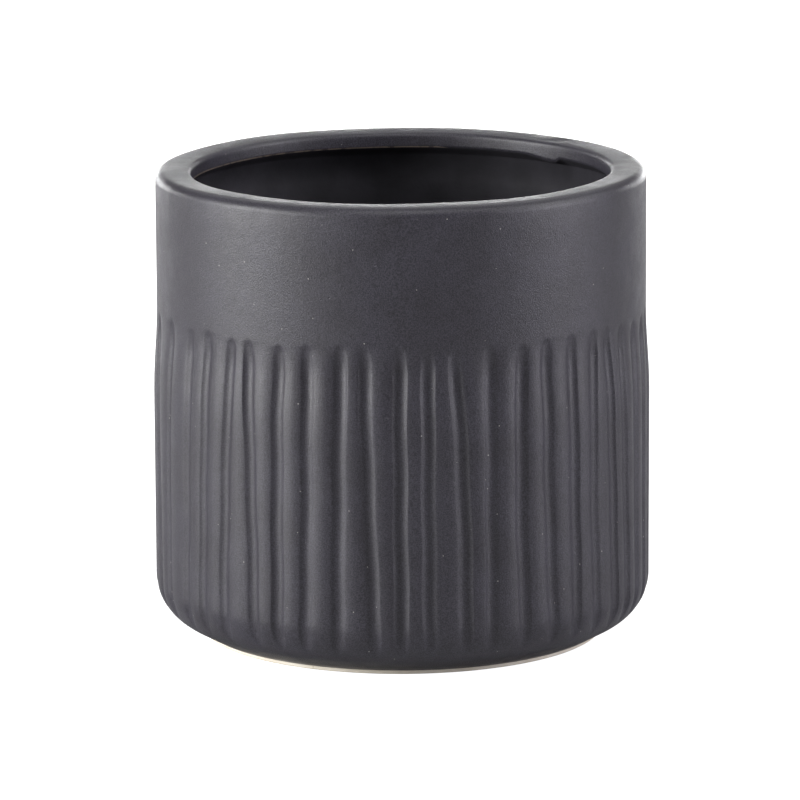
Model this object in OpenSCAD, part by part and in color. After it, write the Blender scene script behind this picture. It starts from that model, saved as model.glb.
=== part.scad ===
// Empty candle jar: a thick stoneware tumbler with a plain band over a zone of hand-cut
// upright grooves. A dark matt glaze coats the outside and the rolled rim down to a bare
// foot ring, a near-black glaze lines the inside, and a thin coat covers the recessed base.
// Frame: origin at the middle of the plane the foot stands on, +Z up, millimetres.

/* [Jar] */
// Outer diameter of the plain band, over the glaze
jar_d = 90; // [80:1:110]
// Height from the standing plane to the top of the rim
jar_h = 86.6; // [70:0.2:120]
// How much further out the grooved zone swells than the plain band
swell = 0.7; // [0:0.1:2]
// Height of the widest level, where the swelling is complete
swell_z = 45; // [20:1:50]
// Radius of the round between the wall and the underside
corner_r = 8.7; // [6:0.1:12]
// How far the round turns, in degrees, before it runs straight down to the foot
corner_turn = 61; // [50:1:85]

/* [Rim] */
// Inner diameter of the rim, where a lid's plug or a wax fill enters
mouth_d = 77; // [60:0.5:82]
// Height of the thick lip, from the top of the rim to its lower edge
lip_h = 3; // [2:0.5:8]
// Drop of the lip's sloping underside to the thinner wall
lip_slope_h = 1.8; // [1:0.2:4]
// Radius of the rim's outer shoulder
shoulder_r = 1.8; // [1:0.2:4]
// Radius of the rim's inner edge
edge_r = 0.9; // [0.6:0.1:2]

/* [Inside] */
// Inner diameter below the lip
cavity_d = 82.8; // [70:0.2:86]
// Height of the inside floor above the standing plane
floor_z = 6; // [4:0.5:12]
// Radius between the inside wall and the floor
cavity_corner_r = 8; // [3:0.5:12]

/* [Foot] */
// Outer diameter of the bare foot ring
foot_d = 74; // [50:0.5:78]
// Inner diameter of the foot ring
foot_inner_d = 64; // [40:1:70]
// Height of the foot ring below the outer glaze
foot_h = 0.8; // [0.6:0.1:3]
// Depth of the recess inside the foot ring, in the clay
recess_h = 1.6; // [1:0.1:3]
// Bevel on the edges of the foot ring
foot_bevel = 0.3; // [0.1:0.1:0.5]

/* [Grooves] */
// Radius of the gouge that cut the grooves, over the glaze
groove_r = 1.7; // [1:0.1:3]
// Depth of a groove at its upper end
groove_depth = 0.7; // [0.4:0.1:1.2]
// Lean of the grooves that makes their floors follow the swelling, in degrees
groove_lean = 0.8; // [0:0.1:2]
// Height of the grooves' upper ends
groove_top_z = 60.6; // [40:0.2:70]
// Height at which the gouge starts, below where the grooves run out
groove_start_z = 3; // [1:1:10]

/* [Glaze] */
// Thickness of the outer and inner glaze
glaze_t = 0.4; // [0.2:0.1:0.6]
// Thickness of the glaze in the recess under the base
base_glaze_t = 0.3; // [0.2:0.1:0.5]
// Distance from the foot ring out to the lower edge of the outer glaze
glaze_gap = 0.3; // [0.1:0.1:1]

/* [Hidden] */
$fn = 96;
jar_r = jar_d / 2;
mouth_r = mouth_d / 2;
cavity_r = cavity_d / 2;
foot_r = foot_d / 2;
foot_inner_r = foot_inner_d / 2;
lip_z = jar_h - lip_h;
wide_r = jar_r + swell;
// Radius of the outer glaze's lower edge
glaze_end_r = foot_r + glaze_gap;
// Centre of the round between the wall and the underside
corner_x = wide_r - corner_r;
corner_z = foot_h + (corner_r + (corner_x - glaze_end_r) * cos(corner_turn)) / sin(corner_turn);
// Centre of the round between the inside wall and the floor
cavity_corner_x = cavity_r - cavity_corner_r;
cavity_corner_z = floor_z + cavity_corner_r;
// Centre of the rim's inner edge
edge_x = mouth_r + edge_r;
edge_z = jar_h - edge_r;
// Distance of the gouge's axis from the jar's axis, at the grooves' upper ends
gouge_x = jar_r - groove_depth + groove_r;
gouge_h = groove_top_z - groove_start_z;
// Overlap of solids that are joined, and overshoot of cuts
bite = 0.6;
overshoot = 5;
// Steps in a quarter round, in the swelling of the wall and in the end of a groove
arc_steps = 6;
swell_steps = 3;
gouge_steps = 3;
// The grooves were cut by eye, so their spacing varies. Degrees round the jar from its
// front (-Y), first over the front half, then evenly round the back.
front_grooves = [-79, -70, -60, -51.5, -43.5, -36.5, -29, -21.5, -14, -7.5, 0, 6.5,
                 13.5, 20.5, 27.5, 34.5, 42, 48.5, 55, 61.5, 68.5, 75.5, 82];
back_grooves = 26;
back_start = front_grooves[len(front_grooves) - 1];
back_pitch = (360 + front_grooves[0] - back_start) / (back_grooves + 1);
groove_angles = concat(front_grooves,
                       [for (i = [1 : back_grooves]) back_start + i * back_pitch]);

clay_colour = [0.86, 0.8, 0.72];
matt_colour = [0.26, 0.26, 0.29];
dark_colour = [0.1, 0.1, 0.12];

// Points on an arc round (x, z) from angle a to angle b.
function arc(x, z, r, a, b, steps = arc_steps) =
    [for (i = [0 : steps]) let (t = a + (b - a) * i / steps) [x + r * cos(t), z + r * sin(t)]];

// Outer radius between the widest level and the grooves' upper ends, for t from 0 to 1.
function swelling(t) = jar_r + swell * (1 + cos(180 * t)) / 2;

// Height of the underside at the glaze's lower edge, set in from the glaze's surface.
function underside_z(inset) = foot_h + inset / sin(corner_turn);

// Outline of the whole jar without its hollows, set in from the glaze's surface.
function outside(inset) = concat(
    [[0, underside_z(inset)], [glaze_end_r, underside_z(inset)]],
    arc(corner_x, corner_z, corner_r - inset, -corner_turn, 0),
    [for (i = [0 : swell_steps]) let (t = i / swell_steps)
        [swelling(t) - inset, swell_z + (groove_top_z - swell_z) * t]],
    arc(jar_r - shoulder_r, jar_h - shoulder_r, shoulder_r - inset, 0, 90),
    [[0, jar_h - inset]]);

// Outline of the space below the lip, set out from the glaze's surface.
function cavity(inset) = concat(
    [[0, floor_z - inset]],
    arc(cavity_corner_x, cavity_corner_z, cavity_corner_r + inset, -90, 0),
    [[cavity_r + inset, lip_z - lip_slope_h], [mouth_r + inset, lip_z], [0, lip_z]]);

// Outline of the space inside the rim, set out from the glaze's surface.
function mouth(inset) = concat(
    [[0, lip_z - bite], [mouth_r + inset, lip_z - bite]],
    arc(edge_x, edge_z, edge_r - inset, 180, 90),
    [[edge_x, jar_h + overshoot], [0, jar_h + overshoot]]);

// One stroke of the gouge: a round-ended rod, standing on its lower end.
module gouge(r) {
    rotate_extrude() polygon(concat([[0, 0], [r, 0]], arc(0, gouge_h, r, 0, 90, gouge_steps)));
}

// All the grooves, cut by a gouge of radius r.
module grooves(r) {
    for (a = groove_angles)
        rotate([0, 0, a - 90])
            translate([gouge_x, 0, groove_top_z])
                rotate([0, -groove_lean, 0])
                    translate([0, 0, -gouge_h])
                        gouge(r);
}

// The jar's grooved outside as a full solid, set in from the glaze's surface.
module grooved_form(inset) {
    difference() {
        rotate_extrude() polygon(outside(inset));
        grooves(groove_r + inset);
    }
}

// The foot ring before its recess is cut.
module foot_ring() {
    rotate_extrude() polygon([
        [0, 0], [foot_r - foot_bevel, 0], [foot_r, foot_bevel],
        [foot_r, underside_z(glaze_t) + bite], [0, underside_z(glaze_t) + bite]]);
}

// The recess inside the foot ring, with a bevel at its lower edge.
module recess() {
    rotate_extrude() polygon([
        [0, -overshoot], [foot_inner_r + foot_bevel, -overshoot],
        [foot_inner_r + foot_bevel, 0], [foot_inner_r, foot_bevel],
        [foot_inner_r, recess_h], [0, recess_h]]);
}

// The fired clay vessel under all the glaze, with its bare foot ring.
module clay_body() {
    color(clay_colour)
        difference() {
            union() {
                grooved_form(glaze_t);
                foot_ring();
            }
            rotate_extrude() polygon(cavity(glaze_t));
            rotate_extrude() polygon(mouth(glaze_t));
            recess();
        }
}

// The coat on the rim's inner edge and down the inside of the lip.
module lip_coat() {
    rotate_extrude() polygon(concat(
        [[mouth_r, lip_z]],
        arc(edge_x, edge_z, edge_r, 180, 90),
        arc(edge_x, edge_z, edge_r - glaze_t, 90, 180),
        [[mouth_r + glaze_t, lip_z]]));
}

// The matt coat over the wall, its grooves, the shoulder and the rim.
module outer_glaze() {
    color(matt_colour)
        union() {
            difference() {
                grooved_form(0);
                grooved_form(glaze_t);
                cylinder(r = glaze_end_r, h = foot_h + overshoot);
                translate([0, 0, lip_z]) cylinder(r = edge_x, h = lip_h + overshoot);
            }
            lip_coat();
        }
}

// The near-black lining of the lip's underside, the wall and the floor.
module inner_glaze() {
    color(dark_colour)
        difference() {
            rotate_extrude() polygon(cavity(glaze_t));
            rotate_extrude() polygon(cavity(0));
            translate([0, 0, lip_z - bite]) cylinder(r = mouth_r, h = 2 * bite);
        }
}

// The thin coat on the recessed base, inside the bare ring.
module base_glaze() {
    color(matt_colour)
        translate([0, 0, recess_h - base_glaze_t])
            cylinder(r = foot_inner_r, h = base_glaze_t);
}

clay_body();
outer_glaze();
inner_glaze();
base_glaze();
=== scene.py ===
"""Empty ceramic candle jar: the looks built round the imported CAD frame.

The jar is turned stoneware with a rolled rim. A gouge cut upright grooves round its lower
two thirds by eye, so every groove wanders and ends a little differently. A matt charcoal
glaze covers the outside, a near-black one the inside, and a thin line of clay stays bare at
the foot. Lengths are in millimetres until a mesh is made, and then in metres.
"""
import math
import random

import bpy
import numpy as np
from mathutils import Euler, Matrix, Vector


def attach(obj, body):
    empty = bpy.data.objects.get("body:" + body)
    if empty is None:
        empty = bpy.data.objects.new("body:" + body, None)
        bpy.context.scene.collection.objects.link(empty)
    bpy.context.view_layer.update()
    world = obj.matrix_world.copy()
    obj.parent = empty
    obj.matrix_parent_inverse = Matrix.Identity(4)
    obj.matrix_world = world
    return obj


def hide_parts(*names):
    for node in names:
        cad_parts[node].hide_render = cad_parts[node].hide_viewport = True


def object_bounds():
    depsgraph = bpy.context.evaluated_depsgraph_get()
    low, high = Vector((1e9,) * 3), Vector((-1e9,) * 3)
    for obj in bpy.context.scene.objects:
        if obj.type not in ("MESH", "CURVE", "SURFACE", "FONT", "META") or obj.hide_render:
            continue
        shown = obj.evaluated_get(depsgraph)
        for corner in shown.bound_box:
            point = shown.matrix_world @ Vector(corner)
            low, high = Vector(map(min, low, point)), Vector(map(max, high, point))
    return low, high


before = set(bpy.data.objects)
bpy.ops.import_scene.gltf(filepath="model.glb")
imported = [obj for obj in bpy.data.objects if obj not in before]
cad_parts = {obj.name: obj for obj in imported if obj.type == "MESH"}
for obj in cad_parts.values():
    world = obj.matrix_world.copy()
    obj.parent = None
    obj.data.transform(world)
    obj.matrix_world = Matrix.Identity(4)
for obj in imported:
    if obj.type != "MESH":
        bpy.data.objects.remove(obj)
cad_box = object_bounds()

MM = 0.001

# Driving dimensions, the same as the CAD's.
JAR_R = 45.0
JAR_H = cad_box[1].z / MM
SWELL = 0.7
SWELL_Z = 45.0
CORNER_R = 8.7
CORNER_TURN = math.radians(61)
MOUTH_R = 38.5
LIP_H = 3.0
LIP_SLOPE_H = 1.8
SHOULDER_R = 1.8
EDGE_R = 0.9
# How far the top of the rim falls towards its inner edge.
RIM_FALL = 0.15
CAVITY_R = 41.4
FLOOR_Z = 6.0
CAVITY_CORNER_R = 8.0
FOOT_R = 37.0
FOOT_INNER_R = 32.0
FOOT_H = 0.8
RECESS_H = 1.6
FOOT_BEVEL = 0.3
GLAZE_T = 0.4
BASE_GLAZE_T = 0.3
GLAZE_GAP = 0.3

LIP_Z = JAR_H - LIP_H
WIDE_R = JAR_R + SWELL
GLAZE_END_R = FOOT_R + GLAZE_GAP
CORNER_X = WIDE_R - CORNER_R
CORNER_Z = FOOT_H + (CORNER_R + (CORNER_X - GLAZE_END_R) * math.cos(CORNER_TURN)) / math.sin(CORNER_TURN)

# The grooves: the gouge's radius and its depth of cut.
GOUGE_R = 1.7
GROOVE_DEPTH = 0.76
# How softly the glaze rounds a groove's edges, how much more so at its ends, how far out from
# an edge it does, and how fast that softness comes in as the groove deepens.
EDGE_SOFT = 0.06
TIP_SOFT = 0.28
SOFT_REACH = 1.4
SOFT_GAIN = 3
# Height of the upper ends, and the length over which the gouge sinks in there.
GROOVE_TOP_Z = 61.4
GROOVE_RUN_IN = 5.5
# Height at which the gouge runs out of the lower round, and the length over which it does so.
GROOVE_LOW_Z = 4.5
GROOVE_RUN_OUT = 4.0
# The ridges between the grooves are rounded along their edges: the radius and the width of
# that, and the share of a groove's half width inside which it levels off.
RIDGE_R = 5.5
RIDGE_ROUND_W = 1.6
LEVEL_SHARE = 0.6
# Margin that tells a radius from the next one inside it.
MARGIN = 0.1
# Only what lies further out than the inside wall is grooved.
GROOVED_R = CAVITY_R + GLAZE_T + MARGIN
# Distances from a groove's edge at which the mesh has columns, where they are across its
# bottom and across the ridge beside it, and the least half width that they follow.
EDGE_STEPS = (-0.34, -0.15, -0.05, 0.05, 0.15, 0.34)
BOTTOM_STEPS = (-0.6, 0.0, 0.6)
RIDGE_STEPS = (1 / 3, 2 / 3)
LEAST_HALF_W = 0.6
# Height above which the mesh's rings lie close together, for the grooves' upper ends, and the
# height of the plain band's first ring.
RUN_IN_Z = GROOVE_TOP_Z - 6
BAND_Z = 66
# Radius at which a turned outline stops short of the axis, where a small flat closes it.
AXIS_R = 0.3
# Where the first ring after a round lies: its share of the way across the rim's top, and its
# distance down the lip's face, in on the inside floor, across the foot ring and up its side.
TOP_START = 0.2
FACE_START = 0.6
FLOOR_START = 3
FOOT_START = 1
FOOT_SIDE_START = 0.2

# Each groove of the front half, in degrees round the jar from its front: where it is at its
# upper end, half way down and at its lower end.
FRONT_GROOVES = [
    (-79.5, -78, -76.5), (-67.5, -69.5, -69), (-57.5, -59, -60), (-50.5, -52, -53),
    (-42.5, -44.5, -45.5), (-37.5, -36.5, -36), (-29, -29.5, -29.5), (-22, -22, -23),
    (-14, -14.5, -15), (-8.5, -7.5, -6), (-0.5, -0.5, 0), (6, 6, 6.5), (12, 14, 14.5),
    (20.5, 20.5, 21), (28.5, 28, 30), (35, 35.5, 37.5), (42.5, 43, 44.5),
    (50, 49.5, 52), (55, 57, 58.5), (61.5, 63, 65), (69, 69.5, 71),
    (76.5, 76, 78), (82.5, 82.5, 84),
]
BACK_GROOVES = 26
# The seed of chance, and how far either way it moves a back groove and leans its ends, in
# degrees. Then how far it shifts any groove's upper end and scales its depth, and the range
# of the wobble's phase.
SEED = 11
PLACE_SPREAD, LEAN_SPREAD = 0.5, 0.6
TOP_SPREAD, DEPTH_SPREAD = 0.5, 0.1
PHASE_RANGE = 6.28
# The wobble's size in degrees, its radians per millimetre and how quickly it sets in.
WOBBLE_DEG, WOBBLE_RATE, WOBBLE_ONSET = 0.12, 0.33, 8

# The glaze's run at the lip: its azimuth in degrees where it starts and where it breaks off,
# the degrees over which it does each, its length, how far up the lip it reaches, and how far
# out under the lip, with the width over which it fades there.
RUN_FROM, RUN_TO = 143.5, 129.5
RUN_START_W, RUN_BREAK_W = 10, 2
RUN_LENGTH = 0.8
RUN_UP = 1.2
RUN_REACH, RUN_FADE = 3.5, 1.5
# The rim's dent: its azimuth, half width in degrees and depth, and the radius from which it
# sinks, with the width over which it does so.
DENT_AT, DENT_HALF_W, DENT_DEPTH = 134.0, 2.6, 0.15
DENT_FROM_R, DENT_FADE = 39, 1.5
# The worn line: the height over which it fades above and below the lip's lower edge, and how
# far right of the axis it starts to fade, with the width over which it does so.
WEAR_H = 0.8
WEAR_TO_X, WEAR_FADE = 6, 8
# The rim's unevenness: where it begins and the height over which it grows, and its waves, each
# with a size in millimetres, a number of crests and a phase. Last, how far the rim lies low.
UNEVEN_Z, UNEVEN_H = 70, 16
BULGE_WAVES = ((0.025, 3, 0.6), (0.025, 5, 2.2), (0.015, 9, 0))
LIFT_WAVES = ((0.15, 1, 0), (0.06, 2, 1), (0.05, 7, 0.4))
RIM_SINK = 0.1
# A ring this far along the lip's sloping underside keeps its shading off the lip's edge.
SLOPE_START = 0.05

# Brightness of the room round the jar, the floor's grey, how far the floor that the camera sees
# is lit up, and the lights' distance from the jar in metres.
ROOM = 0.05
FLOOR_GREY = 0.5
FLOOR_LIFT = 0.97
LIGHT_DISTANCE = 0.9

# Steps round the jar where the form is plain.
PLAIN_STEPS = 360


def arc(x, z, r, a, b, steps):
    """Points on an arc round (x, z), from angle a to angle b in degrees."""
    angles = [math.radians(a + (b - a) * i / steps) for i in range(steps + 1)]
    return [(x + r * math.cos(t), z + r * math.sin(t)) for t in angles]


def line(p, q, steps):
    """Points from p to q, without q."""
    return [(p[0] + (q[0] - p[0]) * i / steps, p[1] + (q[1] - p[1]) * i / steps) for i in range(steps)]


def smooth(t):
    """Smooth step from 0 to 1, for numbers or arrays."""
    t = np.clip(t, 0, 1)
    return t * t * (3 - 2 * t)


def groove_paths():
    """A row for each groove: its angle at the top, middle and bottom in degrees, its depth factor,
    the height of its upper end, and the phase of its wobble."""
    rng = random.Random(SEED)
    angles = list(FRONT_GROOVES)
    start = FRONT_GROOVES[-1][1]
    pitch = (360 + FRONT_GROOVES[0][1] - start) / (BACK_GROOVES + 1)
    for i in range(1, BACK_GROOVES + 1):
        middle = start + i * pitch + rng.uniform(-PLACE_SPREAD, PLACE_SPREAD)
        top = middle + rng.uniform(-LEAN_SPREAD, LEAN_SPREAD)
        low = middle + rng.uniform(-LEAN_SPREAD, LEAN_SPREAD)
        angles.append((top, middle, low))
    rows = []
    for top, middle, low in angles:
        top_z = GROOVE_TOP_Z + rng.uniform(-TOP_SPREAD, TOP_SPREAD)
        deep = rng.uniform(1 - DEPTH_SPREAD, 1 + DEPTH_SPREAD)
        rows.append((top, middle, low, deep, top_z, rng.uniform(0, PHASE_RANGE)))
    return np.array(rows).T


GROOVES = groove_paths()


def grooves_at(z):
    """Every groove's angle in radians and its depth at height z."""
    top, middle, low, deep, top_z, phase = GROOVES
    t = np.clip((top_z - z) / (top_z - FOOT_H), 0, 1)
    angle = top * (1 - t) * (1 - 2 * t) + middle * 4 * t * (1 - t) + low * t * (2 * t - 1)
    wobble = WOBBLE_DEG * np.sin(WOBBLE_RATE * z + phase) * smooth(t * WOBBLE_ONSET)
    # The gouge dips in quickly at its upper end and then levels.
    short = np.clip(1 - (top_z - z) / GROOVE_RUN_IN, 0, 1)
    sunk = (1 - short * short) * smooth((z - GROOVE_LOW_Z) / GROOVE_RUN_OUT)
    return np.radians(angle + wobble), GROOVE_DEPTH * deep * sunk


def next_round(values):
    """For each groove, what the next groove round the jar has here, in radians."""
    after = np.roll(values, -1, axis=0)
    after[-1] += 2 * math.pi
    return after


def grooved_columns(z):
    """Angles of the mesh's columns at height z, which follow the grooves, and the cut at each."""
    angle, deep = grooves_at(z)
    angle, deep = angle[:, None], deep[:, None]
    half_w = np.maximum(np.sqrt(2 * GOUGE_R * deep - deep * deep), LEAST_HALF_W)
    edge = half_w + np.array(EDGE_STEPS)
    bottom = (half_w + EDGE_STEPS[0]) * np.array(BOTTOM_STEPS)
    across = np.concatenate([-edge[:, ::-1], bottom, edge], axis=1)
    columns = angle + across / WIDE_R
    ridge_w = next_round(columns[:, :1]) - columns[:, -1:]
    ridge = columns[:, -1:] + ridge_w * np.array(RIDGE_STEPS)
    columns = np.concatenate([columns, ridge], axis=1)
    across = (columns - angle) * WIDE_R
    # Distance from each groove's middle to the middle of the ridge on either side of it.
    to_next = (next_round(angle) - angle) * WIDE_R / 2
    to_ridge = np.where(across >= 0, to_next, np.roll(to_next, 1, axis=0))
    # A round gouge's cut and the ridge's rounding, whose meeting edge the glaze softens.
    fade = np.minimum(deep / GROOVE_DEPTH, 1)
    gouged = deep - GOUGE_R + np.sqrt(GOUGE_R ** 2 - np.minimum(across * across, GOUGE_R ** 2))
    reach = np.minimum(to_ridge, half_w + RIDGE_ROUND_W)
    # Inside the groove the rounding levels off, so that the gouge's cut stays the deeper one.
    from_middle = np.maximum(np.abs(across), LEVEL_SHARE * half_w)
    rounded = np.maximum(reach - from_middle, 0) ** 2 / (2 * RIDGE_R) * fade
    soft = (EDGE_SOFT + TIP_SOFT * (1 - fade)) * np.minimum(SOFT_GAIN * fade, 1)
    soft = soft * smooth((half_w + SOFT_REACH - np.abs(across)) / SOFT_REACH)
    cut = (gouged + rounded + np.sqrt((gouged - rounded) ** 2 + soft * soft)) / 2
    return columns.ravel(), cut.ravel()


def wall_radius(z):
    """Radius of the ungrooved wall at height z, above the lower round."""
    t = min(max((z - SWELL_Z) / (GROOVE_TOP_Z - SWELL_Z), 0), 1)
    return JAR_R + SWELL * (1 + math.cos(math.pi * t)) / 2


def outside_profile(inset, fine=True):
    """The jar's outside from the glaze's lower edge to the top of the rim, set in by inset."""
    turn = -math.degrees(CORNER_TURN)
    under_z = FOOT_H + inset / math.sin(CORNER_TURN)
    round_low = arc(CORNER_X, CORNER_Z, CORNER_R - inset, turn, 0, 14 if fine else 7)
    points = line((GLAZE_END_R, under_z), round_low[0], 3 if fine else 1) + round_low
    for z in np.linspace(CORNER_Z, RUN_IN_Z, 19 if fine else 6)[1:]:
        points.append((wall_radius(z) - inset, z))
    for z in np.linspace(RUN_IN_Z, GROOVE_TOP_Z + 1, 21 if fine else 5)[1:]:
        points.append((wall_radius(z) - inset, z))
    points += line((JAR_R - inset, BAND_Z), (JAR_R - inset, JAR_H - SHOULDER_R), 5 if fine else 2)
    points += arc(JAR_R - SHOULDER_R, JAR_H - SHOULDER_R, SHOULDER_R - inset, 0, 90, 8 if fine else 4)
    return points


def lip_profile(inset, fine=True):
    """From the top of the rim over its inner edge and down the lip, set in by inset."""
    edge_x = MOUTH_R + EDGE_R
    top_w = JAR_R - SHOULDER_R - edge_x
    points = []
    for t in np.linspace(TOP_START, 1, 5 if fine else 2)[:-1]:
        points.append((JAR_R - SHOULDER_R - t * top_w, JAR_H - inset - RIM_FALL * t * t))
    points += arc(edge_x, JAR_H - EDGE_R - RIM_FALL, EDGE_R - inset, 90, 180, 6 if fine else 3)
    face_top = JAR_H - EDGE_R - RIM_FALL - FACE_START
    points += line((MOUTH_R + inset, face_top), (MOUTH_R + inset, LIP_Z), 3 if fine else 1)
    points.append((MOUTH_R + inset, LIP_Z))
    return points


def cavity_profile(inset, fine=True):
    """From the lip's lower edge down the inside wall to the middle of the floor."""
    corner_x = CAVITY_R - CAVITY_CORNER_R
    corner_z = FLOOR_Z + CAVITY_CORNER_R
    points = [(MOUTH_R + inset, LIP_Z)]
    if fine:
        out, down = (CAVITY_R - MOUTH_R) * SLOPE_START, LIP_SLOPE_H * SLOPE_START
        points += line((MOUTH_R + out, LIP_Z - down), (CAVITY_R, LIP_Z - LIP_SLOPE_H), 4)
    points += line((CAVITY_R + inset, LIP_Z - LIP_SLOPE_H), (CAVITY_R + inset, corner_z), 14 if fine else 4)
    points += arc(corner_x, corner_z, CAVITY_CORNER_R + inset, 0, -90, 12 if fine else 6)
    points += line((corner_x - FLOOR_START, FLOOR_Z - inset), (AXIS_R, FLOOR_Z - inset), 8 if fine else 3)
    points.append((AXIS_R, FLOOR_Z - inset))
    return points


def foot_profile():
    """From the middle of the recessed base out, down and round the foot ring."""
    points = line((AXIS_R, RECESS_H), (FOOT_INNER_R, RECESS_H), 6)
    points += line((FOOT_INNER_R, RECESS_H), (FOOT_INNER_R, FOOT_BEVEL), 3)
    points += arc(FOOT_INNER_R + FOOT_BEVEL, FOOT_BEVEL, FOOT_BEVEL, 180, 270, 4)
    points += line((FOOT_INNER_R + FOOT_START, 0), (FOOT_R - FOOT_BEVEL, 0), 4)
    points += arc(FOOT_R - FOOT_BEVEL, FOOT_BEVEL, FOOT_BEVEL, -90, 0, 4)
    side_z = FOOT_BEVEL + FOOT_SIDE_START
    points += line((FOOT_R, side_z), (FOOT_R, FOOT_H + GLAZE_T), 3)
    points.append((FOOT_R, FOOT_H + GLAZE_T))
    return points


def plain_rings(profile):
    """The profile turned round the jar: an array of rings of points, in millimetres."""
    theta = np.linspace(-math.pi, math.pi, PLAIN_STEPS, endpoint=False)
    return np.array([ring(theta, np.full(PLAIN_STEPS, float(r)), z) for r, z in profile])


def grooved_rings(profile):
    """The same, with the grooves cut into the outside wall."""
    rings = []
    for r, z in profile:
        theta, cut = grooved_columns(z)
        rings.append(ring(theta, r - cut if r > GROOVED_R else np.full_like(cut, r), z))
    return np.array(rings)


def ring(theta, radius, z):
    """One ring of points at the angles theta, which count from the front."""
    return np.stack([radius * np.sin(theta), -radius * np.cos(theta), np.full_like(radius, z)], 1)


def waves(theta, table):
    """Waves round the jar at the angles theta, added up."""
    return sum(size * np.sin(crests * theta + phase) for size, crests, phase in table)


def hand_made(rings):
    """Moves the points as on a hand-finished jar, whose rim is a little uneven and marked."""
    x, y, z = rings[..., 0], rings[..., 1], rings[..., 2]
    theta = np.arctan2(x, -y)
    radius = np.hypot(x, y)
    top = smooth((z - UNEVEN_Z) / UNEVEN_H)
    radial = 1 + top * waves(theta, BULGE_WAVES) / JAR_R
    rings[..., 0] = x * radial
    rings[..., 1] = y * radial
    lift = waves(theta, LIFT_WAVES) - RIM_SINK
    rings[..., 2] = z + top * lift - rim_marks(theta, radius, z)
    return rings


def rim_marks(theta, radius, z):
    """How far the glaze's run pulls the lip's lower edge down, and the dent sinks the rim."""
    azimuth = np.degrees(theta)
    run = smooth((RUN_FROM - azimuth) / RUN_START_W) * smooth((azimuth - RUN_TO) / RUN_BREAK_W)
    below = smooth((z - LIP_Z + LIP_SLOPE_H) / LIP_SLOPE_H)
    at_lip = below * smooth((LIP_Z + RUN_UP - z) / RUN_UP)
    at_lip = at_lip * smooth((MOUTH_R + RUN_REACH - radius) / RUN_FADE)
    dent = np.exp(-((azimuth - DENT_AT) / DENT_HALF_W) ** 2)
    at_rim = smooth((radius - DENT_FROM_R) / DENT_FADE) * smooth(JAR_R - SHOULDER_R - radius)
    at_rim = at_rim * smooth((z - LIP_Z) / LIP_H)
    return RUN_LENGTH * run * at_lip + DENT_DEPTH * dent * at_rim


def lip_wear(rings):
    """How worn the coat is at the lip's lower edge: 1 at the edge, and none towards the right."""
    x, z = rings[..., 0], rings[..., 2]
    near = np.clip(1 - np.abs(z - LIP_Z) / WEAR_H, 0, 1)
    inside = np.hypot(x, rings[..., 1]) < MOUTH_R + GLAZE_T + MARGIN
    return near * inside * (1 - smooth((x - WEAR_TO_X) / WEAR_FADE))


def make_mesh(name, rings, closed_loop):
    """A mesh object from rings of points, closed as a loop or by a flat at each end."""
    count, steps = rings.shape[0], rings.shape[1]
    verts = (rings.reshape(-1, 3) * MM).tolist()
    faces = []
    rows = count if closed_loop else count - 1
    for i in range(rows):
        low = i * steps
        high = ((i + 1) % count) * steps
        for j in range(steps):
            k = (j + 1) % steps
            faces.append((low + j, low + k, high + k, high + j))
    if not closed_loop:
        faces.append(tuple(reversed(range(steps))))
        faces.append(tuple(range((count - 1) * steps, count * steps)))
    mesh = bpy.data.meshes.new(name)
    mesh.from_pydata(verts, [], faces)
    mesh.shade_smooth()
    obj = bpy.data.objects.new(name, mesh)
    bpy.context.collection.objects.link(obj)
    return obj


def paint(obj, name, values):
    """Stores one number per point of a mesh, which a material can read."""
    layer = obj.data.attributes.new(name, "FLOAT", "POINT")
    layer.data.foreach_set("value", np.asarray(values, dtype=np.float32).ravel())


def make_outer_glaze():
    """The charcoal coat: its surface, and back along the clay under it."""
    front = outside_profile(0) + lip_profile(0)
    back = outside_profile(GLAZE_T, False) + lip_profile(GLAZE_T, False)
    rings = grooved_rings(front + back[::-1])
    wear = lip_wear(rings)
    coat = make_mesh("matt_coat", hand_made(rings), True)
    paint(coat, "wear", wear)
    return coat


def make_clay():
    """The clay vessel under the glaze, with its bare foot ring."""
    skin = outside_profile(GLAZE_T, False) + lip_profile(GLAZE_T, False) + cavity_profile(GLAZE_T, False)[1:]
    rings = hand_made(grooved_rings(foot_profile() + skin))
    return make_mesh("clay_vessel", rings, False)


def make_inner_glaze():
    """The near-black lining: along the clay, and back over its own surface."""
    profile = cavity_profile(GLAZE_T, False)[::-1] + cavity_profile(0)
    rings = hand_made(plain_rings(profile))
    return make_mesh("dark_lining", rings, False)


def make_base_glaze():
    """The thin coat on the recessed base, rounded at its edge."""
    low_z = RECESS_H - BASE_GLAZE_T
    edge_r = FOOT_INNER_R - BASE_GLAZE_T
    profile = line((AXIS_R, low_z), (edge_r, low_z), 12)
    profile += arc(edge_r, RECESS_H, BASE_GLAZE_T, -90, 0, 4)
    profile += line((edge_r, RECESS_H), (AXIS_R, RECESS_H), 4) + [(AXIS_R, RECESS_H)]
    return make_mesh("base_coat", plain_rings(profile), False)


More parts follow.
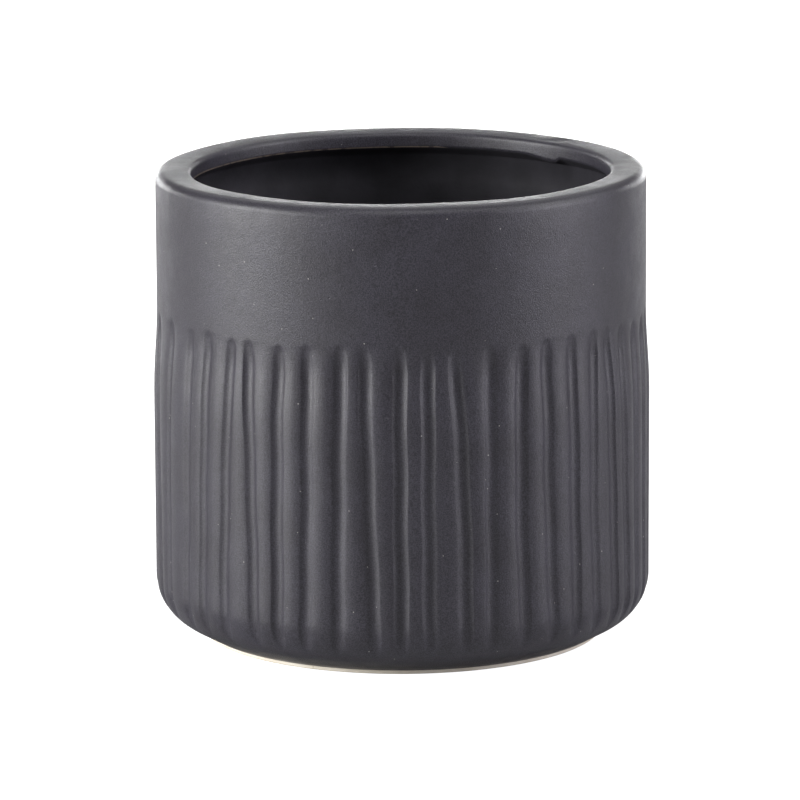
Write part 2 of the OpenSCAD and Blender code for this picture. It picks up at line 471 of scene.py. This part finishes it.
class Nodes:
    """Adds and links shader nodes with few words."""

    def __init__(self, material):
        material.use_nodes = True
        self.tree = material.node_tree
        self.shader = next(n for n in self.tree.nodes if n.type == "BSDF_PRINCIPLED")
        self.place = self.add("ShaderNodeTexCoord").outputs["Object"]

    def add(self, kind, **settings):
        node = self.tree.nodes.new(kind)
        for key, value in settings.items():
            setattr(node, key, value)
        return node

    def link(self, source, target):
        self.tree.links.new(source, target)

    def put(self, node, name, value):
        """Sets an input, or links it if value is another node's output."""
        if isinstance(value, bpy.types.NodeSocket):
            self.link(value, node.inputs[name])
        else:
            node.inputs[name].default_value = value

    def noise(self, size_mm, detail=2.0, roughness=0.5):
        """Noise whose features are about size_mm across."""
        node = self.add("ShaderNodeTexNoise")
        self.link(self.place, node.inputs["Vector"])
        node.inputs["Scale"].default_value = 1 / (size_mm * MM)
        node.inputs["Detail"].default_value = detail
        node.inputs["Roughness"].default_value = roughness
        return node.outputs["Fac"]

    def spots(self, cell_mm, radius_mm, share):
        """Round soft-edged spots in a share of the cells of a loose grid: 1 inside, 0 outside."""
        cells = self.add("ShaderNodeTexVoronoi")
        self.link(self.place, cells.inputs["Vector"])
        cells.inputs["Scale"].default_value = 1 / (cell_mm * MM)
        edge = radius_mm / cell_mm
        core = 0.6 * edge
        inside = self.ramp(cells.outputs["Distance"], core, edge, 1, 0)
        split = self.add("ShaderNodeSeparateColor")
        self.link(cells.outputs["Color"], split.inputs["Color"])
        chosen = self.math("LESS_THAN", split.outputs["Red"], share)
        return self.math("MULTIPLY", inside, chosen)

    def math(self, operation, a, b):
        node = self.add("ShaderNodeMath", operation=operation)
        self.put(node, 0, a)
        self.put(node, 1, b)
        return node.outputs[0]

    def ramp(self, value, low, high, at_low, at_high):
        """Maps value from low..high to at_low..at_high, and holds it outside that."""
        node = self.add("ShaderNodeMapRange")
        node.interpolation_type = "SMOOTHSTEP"
        self.link(value, node.inputs["Value"])
        node.inputs["From Min"].default_value = low
        node.inputs["From Max"].default_value = high
        node.inputs["To Min"].default_value = at_low
        node.inputs["To Max"].default_value = at_high
        return node.outputs["Result"]

    def mix(self, factor, a, b, blend="MIX"):
        node = self.add("ShaderNodeMix", data_type="RGBA", blend_type=blend)
        self.put(node, "Factor", factor)
        for name, value in (("A", a), ("B", b)):
            socket = next(i for i in node.inputs if i.name == name and i.type == "RGBA")
            if isinstance(value, bpy.types.NodeSocket):
                self.link(value, socket)
            else:
                socket.default_value = (*value, 1)
        return next(o for o in node.outputs if o.type == "RGBA")

    def bump(self, height, depth_mm, normal=None):
        """A bump whose height, from 0 to 1, stands for depth_mm."""
        node = self.add("ShaderNodeBump")
        node.inputs["Strength"].default_value = 1
        node.inputs["Distance"].default_value = depth_mm * MM
        self.link(height, node.inputs["Height"])
        if normal is not None:
            self.link(normal, node.inputs["Normal"])
        return node.outputs["Normal"]

    def attribute(self, name):
        return self.add("ShaderNodeAttribute", attribute_name=name).outputs["Fac"]


def matt_glaze():
    """Matt charcoal glaze: fine grain, soft mottling, pinholes and a few pale specks."""
    deep, light = (0.034, 0.0315, 0.04), (0.041, 0.0385, 0.05)
    speck, worn_clay = (0.5, 0.48, 0.46), (0.45, 0.36, 0.28)
    material = bpy.data.materials.new("matt_charcoal_glaze")
    n = Nodes(material)
    mottle = n.noise(9, 3)
    grain = n.noise(0.22, 2, 0.7)
    colour = n.mix(n.ramp(mottle, 0.3, 0.7, 0, 1), deep, light)
    colour = n.mix(1.0, colour, n.ramp(grain, 0.35, 0.65, 0.55, 1.45), "MULTIPLY")
    colour = n.mix(n.math("MULTIPLY", n.spots(2.4, 0.15, 0.5), 0.6), colour, speck)
    worn = n.ramp(n.attribute("wear"), 0.62, 0.8, 0, 1)
    worn = n.math("MULTIPLY", worn, n.ramp(n.noise(1.6, 2), 0.35, 0.5, 0.15, 0.5))
    colour = n.mix(worn, colour, worn_clay)
    n.link(colour, n.shader.inputs["Base Color"])
    n.link(n.ramp(n.noise(4, 3), 0.3, 0.7, 0.36, 0.44), n.shader.inputs["Roughness"])
    pits = n.spots(2.6, 0.2, 0.5)
    normal = n.bump(n.noise(2.4, 2), 0.04)
    normal = n.bump(grain, 0.06, normal)
    normal = n.bump(n.math("SUBTRACT", 1.0, pits), 0.06, normal)
    n.link(normal, n.shader.inputs["Normal"])
    return material


def dark_glaze():
    """Near-black satin glaze of the inside."""
    deep, light = (0.03, 0.029, 0.034), (0.042, 0.04, 0.048)
    material = bpy.data.materials.new("near_black_glaze")
    n = Nodes(material)
    mottle = n.noise(7, 3)
    colour = n.mix(n.ramp(mottle, 0.3, 0.7, 0, 1), deep, light)
    n.link(colour, n.shader.inputs["Base Color"])
    n.link(n.ramp(n.noise(5, 2), 0.3, 0.7, 0.6, 0.7), n.shader.inputs["Roughness"])
    n.shader.inputs["Specular IOR Level"].default_value = 0.25
    normal = n.bump(n.noise(3, 2), 0.05)
    n.link(n.bump(n.noise(0.5, 2), 0.015, normal), n.shader.inputs["Normal"])
    return material


def bare_clay():
    """Fired stoneware: cream, sandy, a little toasted, with fine grog."""
    cream, pale, grog = (0.81, 0.74, 0.62), (0.88, 0.82, 0.71), (0.36, 0.28, 0.2)
    material = bpy.data.materials.new("bare_stoneware")
    n = Nodes(material)
    colour = n.mix(n.ramp(n.noise(5, 3), 0.3, 0.7, 0, 1), cream, pale)
    colour = n.mix(n.math("MULTIPLY", n.spots(1.1, 0.16, 0.3), 0.6), colour, grog)
    n.link(colour, n.shader.inputs["Base Color"])
    n.link(n.ramp(n.noise(2, 2), 0.3, 0.7, 0.75, 0.9), n.shader.inputs["Roughness"])
    normal = n.bump(n.noise(0.35, 3, 0.7), 0.05)
    n.link(normal, n.shader.inputs["Normal"])
    return material


def finish_piece(obj, material, slot, *nodes):
    """Gives a piece its material, puts it under the body's empty and hides the CAD nodes it stands for. The
    slot is not used.
    """
    obj.data.materials.append(material)
    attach(obj, "root")
    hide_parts(*nodes)


def make_jar():
    """The jar's four pieces, each with its material."""
    glaze = matt_glaze()
    finish_piece(make_outer_glaze(), glaze, "matt_glaze", "outer_glaze")
    finish_piece(make_clay(), bare_clay(), "clay", "clay_body")
    finish_piece(make_inner_glaze(), dark_glaze(), "inner_glaze", "inner_glaze")
    finish_piece(make_base_glaze(), glaze, "matt_glaze", "base_glaze")


def make_floor():
    """A plain pale floor. What the camera sees of it is lit up to white, and it is dimmer to the jar."""
    half = 3.0
    mesh = bpy.data.meshes.new("floor")
    corners = [(-half, -half, 0), (half, -half, 0), (half, half, 0), (-half, half, 0)]
    mesh.from_pydata(corners, [], [(0, 1, 2, 3)])
    floor = bpy.data.objects.new("floor", mesh)
    bpy.context.collection.objects.link(floor)
    material = bpy.data.materials.new("pale_floor")
    material.use_nodes = True
    tree = material.node_tree
    shader = next(n for n in tree.nodes if n.type == "BSDF_PRINCIPLED")
    shader.inputs["Base Color"].default_value = (FLOOR_GREY, FLOOR_GREY, FLOOR_GREY, 1)
    shader.inputs["Roughness"].default_value = 0.9
    shader.inputs["Emission Color"].default_value = (1, 1, 1, 1)
    path = tree.nodes.new("ShaderNodeLightPath")
    lift = tree.nodes.new("ShaderNodeMath")
    lift.operation = "MULTIPLY"
    lift.inputs[1].default_value = FLOOR_LIFT
    tree.links.new(path.outputs["Is Camera Ray"], lift.inputs[0])
    tree.links.new(lift.outputs[0], shader.inputs["Emission Strength"])
    mesh.materials.append(material)


def make_light(name, azimuth, elevation, width, height, power, colour=(1, 1, 1)):
    """A soft rectangular light facing the jar. Azimuth in degrees from the front, to the right."""
    data = bpy.data.lights.new(name, "AREA")
    data.shape = "RECTANGLE"
    data.size, data.size_y = width, height
    data.energy = power
    data.color = colour
    light = bpy.data.objects.new(name, data)
    bpy.context.collection.objects.link(light)
    light.visible_camera = False
    a, e = math.radians(azimuth), math.radians(elevation)
    target = Vector((0, 0, JAR_H * MM / 2))
    away = Vector((math.sin(a) * math.cos(e), -math.cos(a) * math.cos(e), math.sin(e)))
    light.location = target + away * LIGHT_DISTANCE
    light.rotation_euler = (-away).to_track_quat("-Z", "Y").to_euler()


def make_world():
    """White where the camera looks past the jar, and a dim room in the jar's reflections."""
    world = bpy.data.worlds.new("studio")
    bpy.context.scene.world = world
    world.use_nodes = True
    tree = world.node_tree
    tree.nodes.clear()
    out = tree.nodes.new("ShaderNodeOutputWorld")
    seen = tree.nodes.new("ShaderNodeBackground")
    seen.inputs["Color"].default_value = (1, 1, 1, 1)
    room = tree.nodes.new("ShaderNodeBackground")
    room.inputs["Color"].default_value = (1, 1, 1, 1)
    room.inputs["Strength"].default_value = ROOM
    path = tree.nodes.new("ShaderNodeLightPath")
    mix = tree.nodes.new("ShaderNodeMixShader")
    tree.links.new(path.outputs["Is Camera Ray"], mix.inputs["Fac"])
    tree.links.new(room.outputs["Background"], mix.inputs[1])
    tree.links.new(seen.outputs["Background"], mix.inputs[2])
    tree.links.new(mix.outputs["Shader"], out.inputs["Surface"])
    bpy.context.scene.view_settings.view_transform = "Standard"


def make_camera():
    """The photograph's view: a long lens, 12 degrees above the jar, rolled a quarter degree."""
    distance, elevation = 1.1, math.radians(12.08)
    aim_x, aim_z, base_z = -0.34 * MM, 42.7 * MM, 39.6 * MM
    roll = math.radians(-0.25)
    data = bpy.data.cameras.new("camera")
    data.sensor_width = 36
    data.lens = 267.8
    data.clip_start, data.clip_end = 0.01, 50
    camera = bpy.data.objects.new("camera", data)
    bpy.context.collection.objects.link(camera)
    camera.location = (0, -distance * math.cos(elevation), base_z + distance * math.sin(elevation))
    facing = (Vector((aim_x, 0, aim_z)) - camera.location).to_track_quat("-Z", "Y")
    camera.rotation_euler = (facing @ Euler((0, 0, roll)).to_quaternion()).to_euler()
    bpy.context.scene.camera = camera


make_jar()
make_floor()
make_world()
make_light("left_softbox", -76, 11, 0.48, 0.3, 9.8)
make_light("left_fill", -50, 9, 0.25, 0.3, 1)
make_light("right_softbox", 77, 12, 0.33, 0.35, 4.4, (0.95, 0.93, 1))
make_light("high_right_softbox", 90, 40, 0.5, 0.35, 2.6)
make_light("back_softbox", -176, 3, 1.5, 0.12, 7.6)
make_light("high_back_softbox", 180, 45, 0.8, 0.4, 2)
make_light("high_front_softbox", 0, 62, 0.6, 0.4, 2.8)
make_camera()
